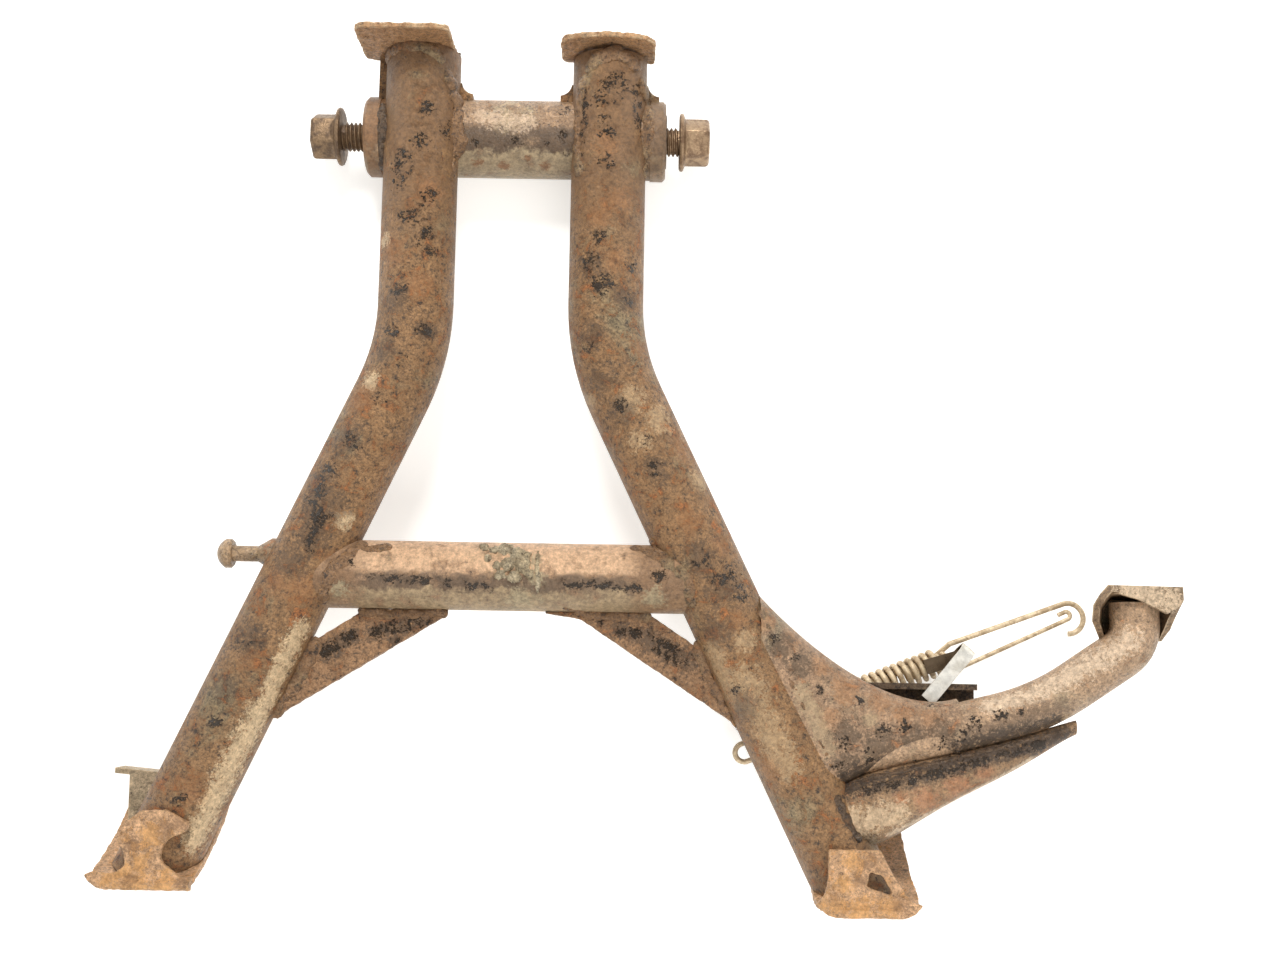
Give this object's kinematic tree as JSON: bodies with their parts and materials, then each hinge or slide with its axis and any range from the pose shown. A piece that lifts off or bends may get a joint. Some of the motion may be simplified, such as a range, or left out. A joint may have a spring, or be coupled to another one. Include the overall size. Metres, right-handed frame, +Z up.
{
  "type": "motorcycle centre stand",
  "caption": "Rusty tubular centre stand lying on its back, with a cross pivot tube, stop plates, braced splayed legs, rocker feet, foot lever and return springs.",
  "frame": {"origin": "on the surface that the stand lies on, under the middle of its bounding box", "axes": "+X along the pivot axis towards the foot lever, +Y from the feet towards the stop plates, +Z up from the surface"},
  "size_m": [0.4214, 0.346, 0.0592],
  "materials": {
    "rusty_steel": "rusted, with worn paint and grease",
    "worn_steel": "rusted and rubbed, partly bare",
    "shoe_steel": "orange rust",
    "sleeve_steel": "dull and brown",
    "bolt_steel": "bronze-brown, dull",
    "spring_steel": "grey-olive, dull",
    "bright_strip": "bright"
  },
  "bodies": {
    "stand": {"pivot_tube": "worn_steel", "left_stop_plate": "rusty_steel", "right_stop_plate": "rusty_steel", "left_outer_neck_web": "rusty_steel", "left_inner_neck_web": "rusty_steel", "right_inner_neck_web": "rusty_steel", "right_outer_neck_web": "rusty_steel", "cross_brace_tube": "worn_steel", "left_brace_strut": "rusty_steel", "right_brace_strut": "rusty_steel", "spring_post": "worn_steel", "left_shoe": "shoe_steel", "right_shoe": "shoe_steel", "left_heel_lug": "shoe_steel", "pedal_saddle": "worn_steel", "lever_tube": "rusty_steel", "lever_root_shell": "rusty_steel", "lever_under_rib": "rusty_steel", "lever_back_channel": "rusty_steel", "left_leg_tube": "rusty_steel", "right_leg_tube": "rusty_steel", "spring_anchor_pin": "bolt_steel", "outer_return_spring": "spring_steel", "inner_return_spring": "spring_steel", "spring_link": "bright_strip"},
    "pivot_shaft": {"pivot_sleeve": "sleeve_steel", "left_pivot_bolt": "bolt_steel", "right_pivot_bolt": "bolt_steel"}
  },
  "joints": [
    {"name": "pivot_turn", "type": "hinge", "parent": "stand", "child": "pivot_shaft", "pos_m": [-0.05571, 0.1362, 0.01645], "axis": [1, 0, 0], "continuous": true}
  ]
}
